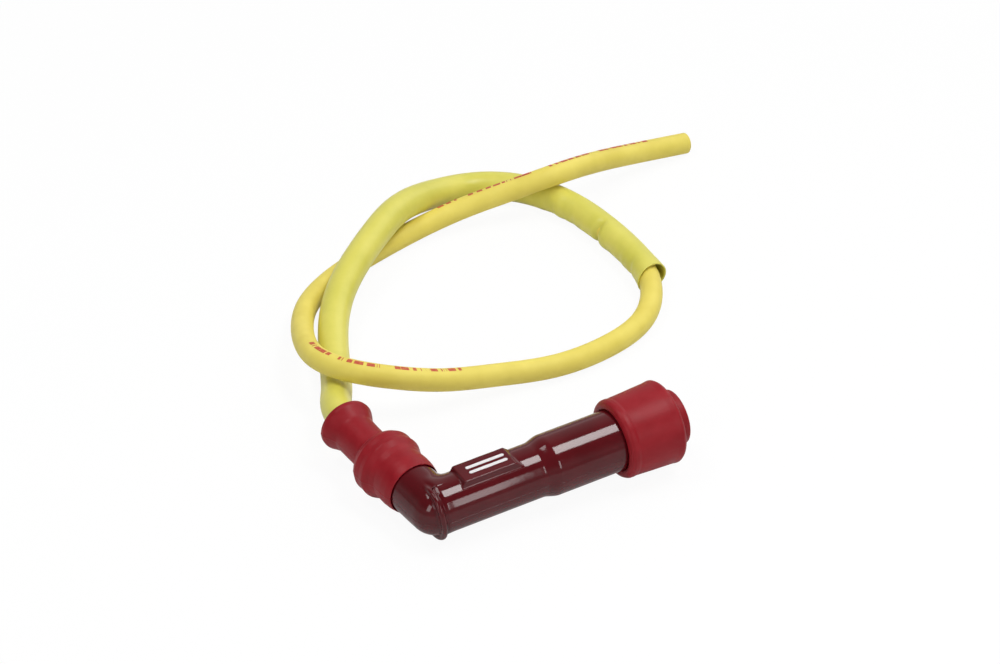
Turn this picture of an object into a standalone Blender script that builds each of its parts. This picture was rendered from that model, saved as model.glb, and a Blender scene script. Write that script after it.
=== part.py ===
"""Elbow spark plug cap with rubber boots, and its high-tension lead in a loose overhand knot.

The moulded elbow holds a resistor between a screw for the lead and a terminal for the plug.
It lies on its side, on the plug boot, the elbow ring and the ring of the cable boot.
The barrel points along +X and the cable tube along about +Y. All sizes are in metres.
"""

import math

import bmesh
import bpy
import numpy as np
from mathutils import Matrix, Vector

NAME = "spark_plug_cap"

# How finely round things are cut, and the gap that touching pieces keep
ROUND_STEPS = 32
SMALL_STEPS = 20
FIT = 0.0003
OVERCUT = 0.001

# Elbow: stations along the barrel and along the cable tube start where their axes cross
ELBOW_ANGLE = math.radians(96.14)
ELBOW_BALL_R = 0.0077

# Barrel of the moulded body
BARREL_R = 0.00815
BARREL_WIDE_R = 0.00918
FLARE_START = 0.0318
FLARE_END = 0.0368
BODY_END = 0.0660
BODY_END_CHAMFER = 0.0008

# Raised ring round the elbow end of the barrel
RING_R = 0.0093
RING_START = -0.0022
RING_WIDTH = 0.0022
RING_ROUND = 0.0008

# Raised flat pad on top of the barrel
PAD_HEIGHT = 0.0090
PAD_START = 0.0080
PAD_LENGTH = 0.0162
PAD_WIDTH = 0.0078
PAD_SIDE_DRAFT = 0.0009
PAD_REAR_DRAFT = 0.0012
PAD_FRONT_DRAFT = 0.0034

# Cable tube of the moulded body
TUBE_R = 0.00775
TUBE_LENGTH = 0.0245
TUBE_END_CHAMFER = 0.0008

# Bores of the moulded body
PLUG_BORE_R = 0.0066
PLUG_BORE_FLOOR = 0.0420
INNER_BORE_R = 0.0040
INNER_BORE_START = -0.0036

# Rubber boot over the plug
PLUG_BOOT_START = 0.0576
PLUG_BOOT_LIP_R = 0.0107
PLUG_BOOT_RIM = 0.0596
PLUG_BOOT_RIM_R = 0.01194
PLUG_BOOT_WAIST = 0.0610
PLUG_BOOT_WAIST_R = 0.01186
PLUG_BOOT_SIDE_END = 0.0732
PLUG_BOOT_SIDE_R = 0.0124
PLUG_BOOT_R = 0.0126
PLUG_BOOT_SHOULDER = 0.0758
PLUG_BOOT_EDGE = 0.0012
PLUG_BOOT_NOSE_R = 0.0083
PLUG_BOOT_NOSE_LENGTH = 0.0038
PLUG_BOOT_MOUTH_R = 0.0049

# Rubber boot over the cable tube, with its ring to pull on, neck and flared collar
CABLE_BOOT_START = 0.0101
CABLE_BOOT_LIP_R = 0.0084
CABLE_BOOT_SWELL = 0.0140
CABLE_BOOT_R = 0.0088
CABLE_RING_START = 0.0182
CABLE_RING_FOOT_R = 0.0087
CABLE_RING_WIDEST = 0.0219
CABLE_RING_R = 0.01015
CABLE_RING_WAIST = 0.0237
CABLE_RING_WAIST_R = 0.0100
CABLE_RING_EDGE = 0.0256
CABLE_RING_EDGE_R = 0.0101
CABLE_RING_END = 0.0290
NECK_R = 0.0062
COLLAR_START = 0.0400
COLLAR_WIDEST = 0.0446
COLLAR_R = 0.0082
CABLE_BOOT_END = 0.0466
CABLE_BOOT_EDGE = 0.0008
COLLAR_LIP_R = 0.0073
MOUTH_START = 0.0382
MOUTH_R = 0.0064

# Lead and the sleeve over its first stretch
LEAD_R = 0.0035
LEAD_BORE_CLEARANCE = 0.0004
LEAD_LEAVES_AXIS = 0.0410
SLEEVE_R = 0.0047
SLEEVE_WALL = 0.0005
SLEEVE_START = 0.0262

# Brass block at the elbow, which joins the screw to the spring
BLOCK_HALF_LENGTH = 0.0033
SPIGOT_R = 0.0019
SPIGOT_LENGTH = 0.0018

# Pointed screw that the lead is turned onto
SCREW_R = 0.0012
SCREW_BASE = -0.0007
SCREW_COLLAR_R = 0.0030
SCREW_COLLAR_START = 0.0041
SCREW_COLLAR_THICKNESS = 0.0009
SCREW_SHANK_END = 0.0150
SCREW_POINT = 0.0195
LEAD_START = SCREW_COLLAR_START + SCREW_COLLAR_THICKNESS + FIT

# Spring between the block and the resistor
SPRING_R = 0.0026
SPRING_WIRE_R = 0.00035
SPRING_TURNS = 5
SPRING_POINTS_PER_TURN = 10
SPRING_SPACE = 0.0087

# Resistor: a ceramic rod in two metal end caps
ROD_R = 0.0028
END_CAP_WALL = 0.0005
END_CAP_LENGTH = 0.0035
RESISTOR_LENGTH = 0.0200

# Brass terminal that grips the plug's stud
FLANGE_R = 0.0062
FLANGE_THICKNESS = 0.0016
FLANGE_SLOT_WIDTH = 0.0014
FLANGE_SLOT_DEPTH = 0.0008
SOCKET_R = 0.0039
SOCKET_LENGTH = 0.0125
STUD_BORE_R = 0.0022
STUD_BORE_DEPTH = 0.0105
CLIP_WIRE_R = 0.00035
CLIP_GROOVE_DEPTH = 0.0003
CLIP_FROM_END = 0.0040
CLIP_OPEN_ANGLE = math.radians(50)

# Route of the lead after it leaves the boot, in millimetres from the point of the bench under
# the elbow's centre: along the sleeve to a quarter past point 15, then bare to the cut end
ROUTE_MM = [
    (-2.7, 54.5, 9.3),
    (3.0, 67.0, 6.3),
    (9.7, 81.4, 5.0),
    (16.4, 95.8, 6.0),
    (25.1, 109.1, 8.0),
    (36.3, 120.0, 10.5),
    (49.0, 129.8, 12.5),
    (61.1, 138.6, 12.3),
    (72.2, 144.9, 9.7),
    (82.7, 149.3, 6.5),
    (94.7, 149.1, 5.0),
    (106.6, 141.9, 4.8),
    (114.9, 128.3, 4.8),
    (118.7, 110.7, 4.8),
    (119.4, 92.7, 4.8),
    (117.7, 78.7, 4.8),
    (112.5, 67.3, 4.2),
    (103.4, 58.0, 3.6),
    (88.8, 51.7, 3.7),
    (68.8, 50.0, 3.7),
    (49.3, 52.3, 5.5),
    (31.8, 53.5, 9.0),
    (17.3, 56.2, 13.2),
    (6.4, 62.4, 15.5),
    (1.1, 73.0, 14.8),
    (2.8, 86.5, 11.5),
    (8.5, 100.9, 7.5),
    (18.2, 115.7, 4.4),
    (32.9, 126.0, 3.6),
    (49.5, 132.3, 3.6),
    (67.1, 137.0, 4.0),
    (83.6, 137.3, 6.5),
    (98.5, 133.5, 10.5),
    (114.0, 130.8, 13.5),
    (130.5, 134.6, 11.0),
    (149.1, 139.3, 6.5),
    (170.6, 140.5, 3.6),
]
SLEEVE_END_POINT = 15.25
CORD_SAMPLES_PER_SPAN = 12
LEAD_POINT_SPACING = 0.0080
CORD_SIDES_SETTING = 3


def clear_scene():
    for obj in list(bpy.data.objects):
        bpy.data.objects.remove(obj, do_unlink=True)


def new_collection(name):
    collection = bpy.data.collections.new(name)
    bpy.context.scene.collection.children.link(collection)
    return collection


def new_material(name, color, roughness, metallic=0.0):
    material = bpy.data.materials.new(name)
    material.use_nodes = True
    shader = material.node_tree.nodes["Principled BSDF"]
    shader.inputs["Base Color"].default_value = (*color, 1.0)
    shader.inputs["Roughness"].default_value = roughness
    shader.inputs["Metallic"].default_value = metallic
    material.diffuse_color = (*color, 1.0)
    return material


def new_empty(name, parent=None, matrix=None):
    """A frame that pieces hang on. Its own Z axis is the axis that turned pieces run along."""
    empty = bpy.data.objects.new(name, None)
    empty.empty_display_size = 0.01
    PARTS.objects.link(empty)
    empty.parent = parent
    empty.matrix_local = matrix or Matrix.Identity(4)
    return empty


def mesh_object(name, mesh, collection, parent, material=None):
    obj = bpy.data.objects.new(name, mesh)
    collection.objects.link(obj)
    obj.parent = parent
    if material:
        mesh.materials.append(material)
    if collection is CUTTERS:
        obj.hide_render = True
        obj.display_type = "WIRE"
    return obj


def turned(name, profile, collection, parent, material=None, closed=False, steps=ROUND_STEPS):
    """Turns (radius, station) points round Z. The profile runs down its outer side, top to bottom."""
    mesh = bpy.data.meshes.new(name)
    points = [(radius, 0.0, station) for radius, station in profile]
    edges = [(i, i + 1) for i in range(len(points) - 1)]
    if closed:
        edges.append((len(points) - 1, 0))
    mesh.from_pydata(points, edges, [])
    obj = mesh_object(name, mesh, collection, parent, material)
    screw = obj.modifiers.new("Turn", "SCREW")
    screw.steps = screw.render_steps = steps
    screw.use_merge_vertices = True
    screw.merge_threshold = 0.00001
    screw.use_smooth_shade = True
    return obj


def rod(name, radius, start, end, collection, parent, material=None, steps=ROUND_STEPS):
    profile = [(0.0, end), (radius, end), (radius, start), (0.0, start)]
    return turned(name, profile, collection, parent, material, steps=steps)


def boolean(target, other, operation):
    modifier = target.modifiers.new(f"{operation.title()} {other.name}", "BOOLEAN")
    modifier.operation = operation
    modifier.object = other
    modifier.solver = "EXACT"


def rounded_corner(center_radius, center_station, size, start_degrees, end_degrees, points=4):
    """Points on a quarter round of a profile, from one angle to the other, 0 being outward."""
    corner = []
    for i in range(points):
        angle = math.radians(start_degrees + (end_degrees - start_degrees) * i / (points - 1))
        corner.append((
            center_radius + size * math.cos(angle),
            center_station + size * math.sin(angle),
        ))
    return corner


def resting_frame():
    """How the cap lies on three rings, as a matrix, and the height of its elbow's centre."""
    boot_station = PLUG_BOOT_SHOULDER - PLUG_BOOT_EDGE
    rise = math.atan2(PLUG_BOOT_R - RING_R, boot_station - RING_START - RING_ROUND)
    height = PLUG_BOOT_R * math.cos(rise) - boot_station * math.sin(rise)
    reach = math.hypot(CABLE_RING_WIDEST, CABLE_RING_R)
    lift = math.atan2(CABLE_RING_R, CABLE_RING_WIDEST) - math.asin(height / reach)
    up_x = math.sin(rise)
    up_y = (math.sin(lift) - math.cos(ELBOW_ANGLE) * up_x) / math.sin(ELBOW_ANGLE)
    up = Vector((up_x, up_y, math.sqrt(1 - up_x**2 - up_y**2)))
    along = (Vector((1, 0, 0)) - up * up_x).normalized()
    across = up.cross(along)
    return Matrix((along, across, up)).to_4x4(), height


def pad_block():
    """The pad is a block whose walls lean in towards its top face."""
    base = bmesh.new()
    bmesh.ops.create_cube(base, size=1.0)
    for vertex in base.verts:
        is_top = vertex.co.z > 0
        is_front = vertex.co.x > 0
        draft = PAD_FRONT_DRAFT if is_front else -PAD_REAR_DRAFT
        vertex.co.x = PAD_START + (PAD_LENGTH if is_front else 0.0) + (0.0 if is_top else draft)
        vertex.co.y = math.copysign(PAD_WIDTH / 2 + (0.0 if is_top else PAD_SIDE_DRAFT), vertex.co.y)
        vertex.co.z = PAD_HEIGHT if is_top else math.sqrt(BARREL_R**2 - (PAD_WIDTH / 2) ** 2) - OVERCUT
    mesh = bpy.data.meshes.new("pad_block")
    base.to_mesh(mesh)
    base.free()
    return mesh_object("pad_block", mesh, CUTTERS, CAP_FRAME)


def make_cap_body(material):
    """One phenolic moulding: barrel, ring, pad, elbow ball and cable tube, bored from both ends."""
    ring_end = RING_START + RING_WIDTH
    outline = [
        (0.0, BODY_END),
        (BARREL_WIDE_R - BODY_END_CHAMFER, BODY_END),
        (BARREL_WIDE_R, BODY_END - BODY_END_CHAMFER),
        (BARREL_WIDE_R, FLARE_END),
        (BARREL_R, FLARE_START),
        (BARREL_R, ring_end),
        (RING_R - RING_ROUND / 2, ring_end - RING_ROUND / 4),
        (RING_R, ring_end - RING_ROUND),
        (RING_R, RING_START + RING_ROUND),
        (RING_R - RING_ROUND / 2, RING_START + RING_ROUND / 4),
        (ELBOW_BALL_R, RING_START),
        (0.0, RING_START),
    ]
    body = turned("cap_body", outline, PARTS, BARREL_AXIS, material)
    mesh = bpy.data.meshes.new("elbow_ball")
    ball = bmesh.new()
    bmesh.ops.create_uvsphere(ball, u_segments=ROUND_STEPS, v_segments=ROUND_STEPS // 2, radius=ELBOW_BALL_R)
    ball.to_mesh(mesh)
    ball.free()
    boolean(body, mesh_object("elbow_ball", mesh, CUTTERS, BARREL_AXIS), "UNION")
    tube = [
        (0.0, TUBE_LENGTH),
        (TUBE_R - TUBE_END_CHAMFER, TUBE_LENGTH),
        (TUBE_R, TUBE_LENGTH - TUBE_END_CHAMFER),
        (TUBE_R, 0.0),
        (0.0, 0.0),
    ]
    boolean(body, turned("tube_form", tube, CUTTERS, TUBE_AXIS), "UNION")
    boolean(body, pad_block(), "UNION")
    bore = [
        (0.0, BODY_END + OVERCUT),
        (PLUG_BORE_R, BODY_END + OVERCUT),
        (PLUG_BORE_R, PLUG_BORE_FLOOR),
        (INNER_BORE_R, PLUG_BORE_FLOOR),
        (INNER_BORE_R, INNER_BORE_START),
        (0.0, INNER_BORE_START),
    ]
    boolean(body, turned("barrel_bore", bore, CUTTERS, BARREL_AXIS), "DIFFERENCE")
    lead_bore_r = LEAD_R + LEAD_BORE_CLEARANCE
    lead_bore = rod("lead_bore", lead_bore_r, 0.0, TUBE_LENGTH + OVERCUT, CUTTERS, TUBE_AXIS)
    boolean(body, lead_bore, "DIFFERENCE")


def make_plug_boot(material):
    """Rubber cover that grips the barrel and seals on the plug through its narrow nose."""
    grip_r = BARREL_WIDE_R + FIT
    nose_end = PLUG_BOOT_SHOULDER + PLUG_BOOT_NOSE_LENGTH
    edge = PLUG_BOOT_EDGE
    outline = [(PLUG_BOOT_MOUTH_R, nose_end)]
    outline += rounded_corner(PLUG_BOOT_NOSE_R - edge / 2, nose_end - edge / 2, edge / 2, 90, 0, 3)
    outline += [(PLUG_BOOT_NOSE_R, PLUG_BOOT_SHOULDER)]
    outline += rounded_corner(PLUG_BOOT_R - edge, PLUG_BOOT_SHOULDER - edge, edge, 90, 0)
    outline += [
        (PLUG_BOOT_SIDE_R, PLUG_BOOT_SIDE_END),
        (PLUG_BOOT_WAIST_R, PLUG_BOOT_WAIST),
        (PLUG_BOOT_RIM_R, PLUG_BOOT_RIM),
        ((PLUG_BOOT_RIM_R + PLUG_BOOT_LIP_R) / 2 + edge / 4, PLUG_BOOT_RIM - edge),
        (PLUG_BOOT_LIP_R, PLUG_BOOT_START),
        (grip_r, PLUG_BOOT_START),
        (grip_r, BODY_END + FIT),
        (PLUG_BOOT_MOUTH_R, BODY_END + FIT),
    ]
    turned("plug_boot", outline, PARTS, BARREL_AXIS, material, closed=True)


def make_cable_boot(material):
    """Rubber cover over the cable tube, with a ring to pull it by and a flared collar."""
    grip_r = TUBE_R + FIT
    neck_bore_r = SLEEVE_R + FIT
    edge = CABLE_BOOT_EDGE
    outline = [
        (MOUTH_R, CABLE_BOOT_END),
        (COLLAR_LIP_R, CABLE_BOOT_END),
        (COLLAR_R - edge / 4, CABLE_BOOT_END - edge),
        (COLLAR_R, COLLAR_WIDEST),
        ((COLLAR_R + NECK_R) / 2, (COLLAR_WIDEST + COLLAR_START) / 2 + edge / 4),
        (NECK_R, COLLAR_START),
        (NECK_R, CABLE_RING_END),
        ((CABLE_RING_EDGE_R + NECK_R) / 2, CABLE_RING_END - edge),
        (CABLE_RING_EDGE_R - edge / 2, CABLE_RING_EDGE + edge),
        (CABLE_RING_EDGE_R, CABLE_RING_EDGE),
        (CABLE_RING_WAIST_R, CABLE_RING_WAIST),
        (CABLE_RING_R, CABLE_RING_WIDEST),
        ((CABLE_RING_R + CABLE_RING_FOOT_R) / 2, (CABLE_RING_WIDEST + CABLE_RING_START) / 2),
        (CABLE_RING_FOOT_R, CABLE_RING_START),
        (CABLE_BOOT_R, CABLE_BOOT_SWELL),
        (CABLE_BOOT_LIP_R, CABLE_BOOT_START + edge),
        (grip_r, CABLE_BOOT_START),
        (grip_r, TUBE_LENGTH + FIT),
        (neck_bore_r, TUBE_LENGTH + FIT),
        (neck_bore_r, MOUTH_START),
    ]
    turned("cable_boot", outline, PARTS, TUBE_AXIS, material, closed=True)


def make_contact_block(brass):
    """Brass block in the elbow: the screw stands in its hole, the spring sits on its spigot."""
    radius = INNER_BORE_R - FIT
    outline = [
        (0.0, BLOCK_HALF_LENGTH + SPIGOT_LENGTH),
        (SPIGOT_R, BLOCK_HALF_LENGTH + SPIGOT_LENGTH),
        (SPIGOT_R, BLOCK_HALF_LENGTH),
        (radius, BLOCK_HALF_LENGTH),
        (radius, -BLOCK_HALF_LENGTH),
        (0.0, -BLOCK_HALF_LENGTH),
    ]
    block = turned("contact_block", outline, PARTS, BARREL_AXIS, brass, steps=SMALL_STEPS)
    hole = rod(
        "screw_hole", SCREW_R + FIT, SCREW_BASE - FIT, SCREW_COLLAR_START,
        CUTTERS, TUBE_AXIS, steps=SMALL_STEPS,
    )
    boolean(block, hole, "DIFFERENCE")


def make_cable_screw(steel):
    """Pointed screw on a collar. The lead's core is turned onto its point."""
    outline = [
        (0.0, SCREW_POINT),
        (SCREW_R, SCREW_SHANK_END),
        (SCREW_R, SCREW_COLLAR_START + SCREW_COLLAR_THICKNESS),
        (SCREW_COLLAR_R, SCREW_COLLAR_START + SCREW_COLLAR_THICKNESS),
        (SCREW_COLLAR_R, SCREW_COLLAR_START),
        (SCREW_R, SCREW_COLLAR_START),
        (SCREW_R, SCREW_BASE),
        (0.0, SCREW_BASE),
    ]
    turned("cable_screw", outline, PARTS, TUBE_AXIS, steel, steps=SMALL_STEPS)


def poly_curve(name, points, radius, parent, material, closed_ends=True):
    curve = bpy.data.curves.new(name, "CURVE")
    curve.dimensions = "3D"
    curve.bevel_depth = radius
    curve.bevel_resolution = CORD_SIDES_SETTING
    curve.use_fill_caps = closed_ends
    spline = curve.splines.new("POLY")
    spline.points.add(len(points) - 1)
    for spline_point, place in zip(spline.points, points):
        spline_point.co = (*place, 1.0)
    curve.materials.append(material)
    obj = bpy.data.objects.new(name, curve)
    PARTS.objects.link(obj)
    obj.parent = parent
    return obj


def make_contact_spring(steel):
    """Coil spring, pressed between the block and the resistor."""
    first = BLOCK_HALF_LENGTH + FIT + SPRING_WIRE_R
    travel = SPRING_SPACE - 2 * (FIT + SPRING_WIRE_R)
    count = SPRING_TURNS * SPRING_POINTS_PER_TURN
    points = []
    for i in range(count + 1):
        angle = 2 * math.pi * i / SPRING_POINTS_PER_TURN
        station = first + travel * i / count
        points.append((SPRING_R * math.cos(angle), SPRING_R * math.sin(angle), station))
    poly_curve("contact_spring", points, SPRING_WIRE_R, BARREL_AXIS, steel)


def make_resistor(ceramic, steel):
    """Ceramic rod with a metal cap pressed on each end."""
    start = BLOCK_HALF_LENGTH + SPRING_SPACE
    end = start + RESISTOR_LENGTH
    floor = END_CAP_WALL + FIT
    rod("resistor_rod", ROD_R, start + floor, end - floor, PARTS, BARREL_AXIS, ceramic, SMALL_STEPS)
    inner_r = ROD_R + FIT
    outer_r = inner_r + END_CAP_WALL
    for name, face, inward in (("resistor_cap_rear", start, 1), ("resistor_cap_front", end, -1)):
        outline = [
            (0.0, face + inward * END_CAP_WALL),
            (inner_r, face + inward * END_CAP_WALL),
            (inner_r, face + inward * END_CAP_LENGTH),
            (outer_r, face + inward * END_CAP_LENGTH),
            (outer_r, face),
            (0.0, face),
        ]
        if inward < 0:
            outline.reverse()
        turned(name, outline, PARTS, BARREL_AXIS, steel, steps=SMALL_STEPS)
    return end


def make_plug_terminal(brass, steel, resistor_end):
    """Brass terminal, screwed in behind the resistor, with a wire clip round its socket."""
    start = resistor_end + FIT
    flange = PLUG_BORE_FLOOR + FIT
    socket = flange + FLANGE_THICKNESS
    end = socket + SOCKET_LENGTH
    clip = end - CLIP_FROM_END
    groove_r = SOCKET_R - CLIP_GROOVE_DEPTH
    groove_half = CLIP_WIRE_R + FIT
    outline = [
        (0.0, end - STUD_BORE_DEPTH),
        (STUD_BORE_R, end - STUD_BORE_DEPTH),
        (STUD_BORE_R, end),
        (SOCKET_R, end),
        (SOCKET_R, clip + groove_half),
        (groove_r, clip + groove_half),
        (groove_r, clip - groove_half),
        (SOCKET_R, clip - groove_half),
        (SOCKET_R, socket),
        (FLANGE_R, socket),
        (FLANGE_R, flange),
        (INNER_BORE_R - FIT, flange),
        (INNER_BORE_R - FIT, start),
        (0.0, start),
    ]
    terminal = turned("plug_terminal", outline, PARTS, BARREL_AXIS, brass)
    slot = bmesh.new()
    size = (2 * FLANGE_R + OVERCUT, FLANGE_SLOT_WIDTH, FLANGE_SLOT_DEPTH + OVERCUT)
    bmesh.ops.create_cube(slot, size=1.0)
    bmesh.ops.scale(slot, vec=size, verts=slot.verts)
    for side in (-1, 1):
        mesh = bpy.data.meshes.new("flange_slot")
        slot.to_mesh(mesh)
        cutter = mesh_object(f"flange_slot_{side}", mesh, CUTTERS, BARREL_AXIS)
        away = side * (SOCKET_R + size[0] / 2)
        cutter.location = (away, 0.0, socket - FLANGE_SLOT_DEPTH + size[2] / 2)
        boolean(terminal, cutter, "DIFFERENCE")
    slot.free()
    clip_r = groove_r + FIT + CLIP_WIRE_R
    points = []
    for i in range(SMALL_STEPS + 1):
        angle = CLIP_OPEN_ANGLE / 2 + (2 * math.pi - CLIP_OPEN_ANGLE) * i / SMALL_STEPS
        points.append((clip_r * math.cos(angle), clip_r * math.sin(angle), clip))
    poly_curve("terminal_clip", points, CLIP_WIRE_R, BARREL_AXIS, steel)


def smooth_through(points):
    """Fine points on the natural cubic spline through these points."""
    places = np.array(points)
    spans = np.linalg.norm(np.diff(places, axis=0), axis=1) ** 0.5
    slopes = np.diff(places, axis=0) / spans[:, None]
    system = np.eye(len(places))
    wanted = np.zeros_like(places)
    for i in range(1, len(places) - 1):
        system[i, i - 1 : i + 2] = spans[i - 1], 2 * (spans[i - 1] + spans[i]), spans[i]
        wanted[i] = 6 * (slopes[i] - slopes[i - 1])
    bends = np.linalg.solve(system, wanted)
    curve = []
    for i, span in enumerate(spans):
        for step in range(CORD_SAMPLES_PER_SPAN):
            ahead = step / CORD_SAMPLES_PER_SPAN
            back = 1 - ahead
            straight = back * places[i] + ahead * places[i + 1]
            bow = (back**3 - back) * bends[i] + (ahead**3 - ahead) * bends[i + 1]
            curve.append(Vector(straight + bow * span**2 / 6))
    return curve + [Vector(places[-1])]


def evenly_spaced(curve, spacing):
    """Points at even steps along a fine curve, both ends included."""
    lengths = [0.0]
    for a, b in zip(curve[:-1], curve[1:]):
        lengths.append(lengths[-1] + (b - a).length)
    count = max(1, round(lengths[-1] / spacing))
    points = []
    at = 0
    for i in range(count + 1):
        wanted = lengths[-1] * i / count
        while at < len(lengths) - 2 and lengths[at + 1] < wanted:
            at += 1
        share = (wanted - lengths[at]) / (lengths[at + 1] - lengths[at])
        points.append(curve[at].lerp(curve[at + 1], share))
    return points


def as_mesh(curve_object, parent):
    """The curve's tube as a welded mesh that takes modifiers, in the curve's place."""
    bpy.context.view_layer.update()
    graph = bpy.context.evaluated_depsgraph_get()
    mesh = bpy.data.meshes.new_from_object(curve_object.evaluated_get(graph))
    name, matrix = curve_object.name, curve_object.matrix_world.copy()
    weld = bmesh.new()
    weld.from_mesh(mesh)
    bmesh.ops.remove_doubles(weld, verts=weld.verts, dist=0.000001)
    weld.to_mesh(mesh)
    weld.free()
    bpy.data.objects.remove(curve_object, do_unlink=True)
    obj = mesh_object(name, mesh, PARTS, parent)
    obj.matrix_world = matrix
    return obj


def cord_route():
    """Fine curves of the stretch under the sleeve, from screw to sleeve end, and of the bare rest."""
    bpy.context.view_layer.update()
    to_bench = BENCH_FRAME.matrix_world.inverted() @ TUBE_AXIS.matrix_world
    stations = (LEAD_START, SLEEVE_START, COLLAR_START, LEAD_LEAVES_AXIS)
    inside = [to_bench @ Vector((0.0, 0.0, station)) for station in stations]
    outside = [Vector(point) * 0.001 for point in ROUTE_MM]
    curve = smooth_through(inside + outside)
    sleeve_start = CORD_SAMPLES_PER_SPAN
    sleeve_end = round((len(inside) + SLEEVE_END_POINT) * CORD_SAMPLES_PER_SPAN)
    return curve[: sleeve_start + 1], curve[sleeve_start : sleeve_end + 1], curve[sleeve_end:]


def make_cords(lead_material, sleeve_material):
    """The lead, drilled where the screw enters its core, and the open sleeve over its start."""
    hidden, sleeved, bare = cord_route()
    hidden = evenly_spaced(hidden, LEAD_POINT_SPACING)
    sleeved = evenly_spaced(sleeved, LEAD_POINT_SPACING)
    bare = evenly_spaced(bare, LEAD_POINT_SPACING)
    lead = poly_curve("ht_lead", hidden[:-1] + sleeved + bare[1:], LEAD_R, BENCH_FRAME, lead_material)
    lead = as_mesh(lead, BENCH_FRAME)
    core_hole = rod("core_hole", SCREW_R + FIT, 0.0, SCREW_POINT + FIT, CUTTERS, TUBE_AXIS, steps=SMALL_STEPS)
    boolean(lead, core_hole, "DIFFERENCE")
    sleeve = poly_curve("lead_sleeve", sleeved, SLEEVE_R, BENCH_FRAME, sleeve_material, closed_ends=False)
    sleeve = as_mesh(sleeve, BENCH_FRAME)
    wall = sleeve.modifiers.new("Wall", "SOLIDIFY")
    wall.thickness = SLEEVE_WALL
    wall.offset = -1.0


def stand_on_origin(cords):
    """Moves all of it so that the cap, without its cords, stands centred on the origin."""
    bpy.context.view_layer.update()
    graph = bpy.context.evaluated_depsgraph_get()
    corners = []
    for obj in PARTS.objects:
        if obj.type == "EMPTY" or obj.name in cords:
            continue
        evaluated = obj.evaluated_get(graph)
        mesh = evaluated.to_mesh()
        corners += [evaluated.matrix_world @ vertex.co for vertex in mesh.vertices]
        evaluated.to_mesh_clear()
    for axis in (0, 1):
        values = [corner[axis] for corner in corners]
        BENCH_FRAME.location[axis] = -(min(values) + max(values)) / 2
    BENCH_FRAME.location.z = -min(corner.z for corner in corners)


clear_scene()
PARTS = new_collection(NAME)
CUTTERS = new_collection("cutters")
TILT, ELBOW_HEIGHT = resting_frame()
BENCH_FRAME = new_empty("bench_frame")
CAP_FRAME = new_empty("cap_frame", BENCH_FRAME, Matrix.Translation((0, 0, ELBOW_HEIGHT)) @ TILT)
BARREL_AXIS = new_empty("barrel_axis", CAP_FRAME, Matrix.Rotation(math.pi / 2, 4, "Y"))
TUBE_AXIS = new_empty(
    "tube_axis", CAP_FRAME,
    Matrix.Rotation(ELBOW_ANGLE, 4, "Z") @ Matrix.Rotation(math.pi / 2, 4, "Y"),
)

PHENOLIC = new_material("maroon_phenolic", (0.075, 0.008, 0.012), 0.12)
RED_RUBBER = new_material("red_rubber", (0.26, 0.014, 0.02), 0.5)
BRASS = new_material("brass", (0.55, 0.36, 0.12), 0.3, 1.0)
SPRING_STEEL = new_material("spring_steel", (0.4, 0.4, 0.4), 0.3, 1.0)
CERAMIC = new_material("white_ceramic", (0.75, 0.73, 0.68), 0.5)
YELLOW_SILICONE = new_material("yellow_silicone", (0.72, 0.62, 0.14), 0.45)
SLEEVE_SILICONE = new_material("sleeve_silicone", (0.62, 0.6, 0.1), 0.4)

make_cap_body(PHENOLIC)
make_plug_boot(RED_RUBBER)
make_cable_boot(RED_RUBBER)
make_contact_block(BRASS)
make_cable_screw(SPRING_STEEL)
make_contact_spring(SPRING_STEEL)
RESISTOR_END = make_resistor(CERAMIC, SPRING_STEEL)
make_plug_terminal(BRASS, SPRING_STEEL, RESISTOR_END)
make_cords(YELLOW_SILICONE, SLEEVE_SILICONE)
stand_on_origin(("ht_lead", "lead_sleeve"))
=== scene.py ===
"""Looks of the elbow spark plug cap and its lead: camera, cords, moulded pieces, materials, light."""

import math

import bmesh
import bpy
import numpy as np
from mathutils import Matrix, Vector, noise


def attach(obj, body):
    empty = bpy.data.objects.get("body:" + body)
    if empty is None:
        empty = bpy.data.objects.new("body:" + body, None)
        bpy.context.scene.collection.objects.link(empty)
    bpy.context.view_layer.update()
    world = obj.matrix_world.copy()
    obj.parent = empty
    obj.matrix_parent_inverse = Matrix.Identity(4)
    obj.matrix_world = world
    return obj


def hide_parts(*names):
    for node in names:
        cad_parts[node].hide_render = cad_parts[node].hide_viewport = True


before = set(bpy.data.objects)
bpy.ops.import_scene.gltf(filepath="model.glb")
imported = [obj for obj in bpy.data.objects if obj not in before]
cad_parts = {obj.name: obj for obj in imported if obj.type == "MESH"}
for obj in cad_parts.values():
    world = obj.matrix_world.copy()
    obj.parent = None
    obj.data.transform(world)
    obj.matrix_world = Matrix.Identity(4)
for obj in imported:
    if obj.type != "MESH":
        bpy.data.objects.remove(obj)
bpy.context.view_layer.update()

BODY = "root"

# Camera: its aim on the table, its distance and angles, and its focal length in pixels
PICTURE_WIDTH = 1000
SENSOR_MM = 36.0
AIM = Vector((0.031501, 0.061234, 0.0))
CAMERA_DISTANCE = 1.0
CAMERA_ELEVATION = math.radians(34.677)
CAMERA_TURN = math.radians(29.217)
FOCAL_PIXELS = 3250

# How the cap lies: its elbow's centre, and the same three rings that the solids rest on
ELBOW = Vector((-0.033435, -0.017270, 0.009344))
ELBOW_ANGLE = math.radians(96.14)
REST_BOOT_R, REST_BOOT_AT = 0.0126, 0.0746
REST_RING_R, REST_RING_AT = 0.0093, -0.0014
REST_CABLE_R, REST_CABLE_AT = 0.01015, 0.0219

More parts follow.
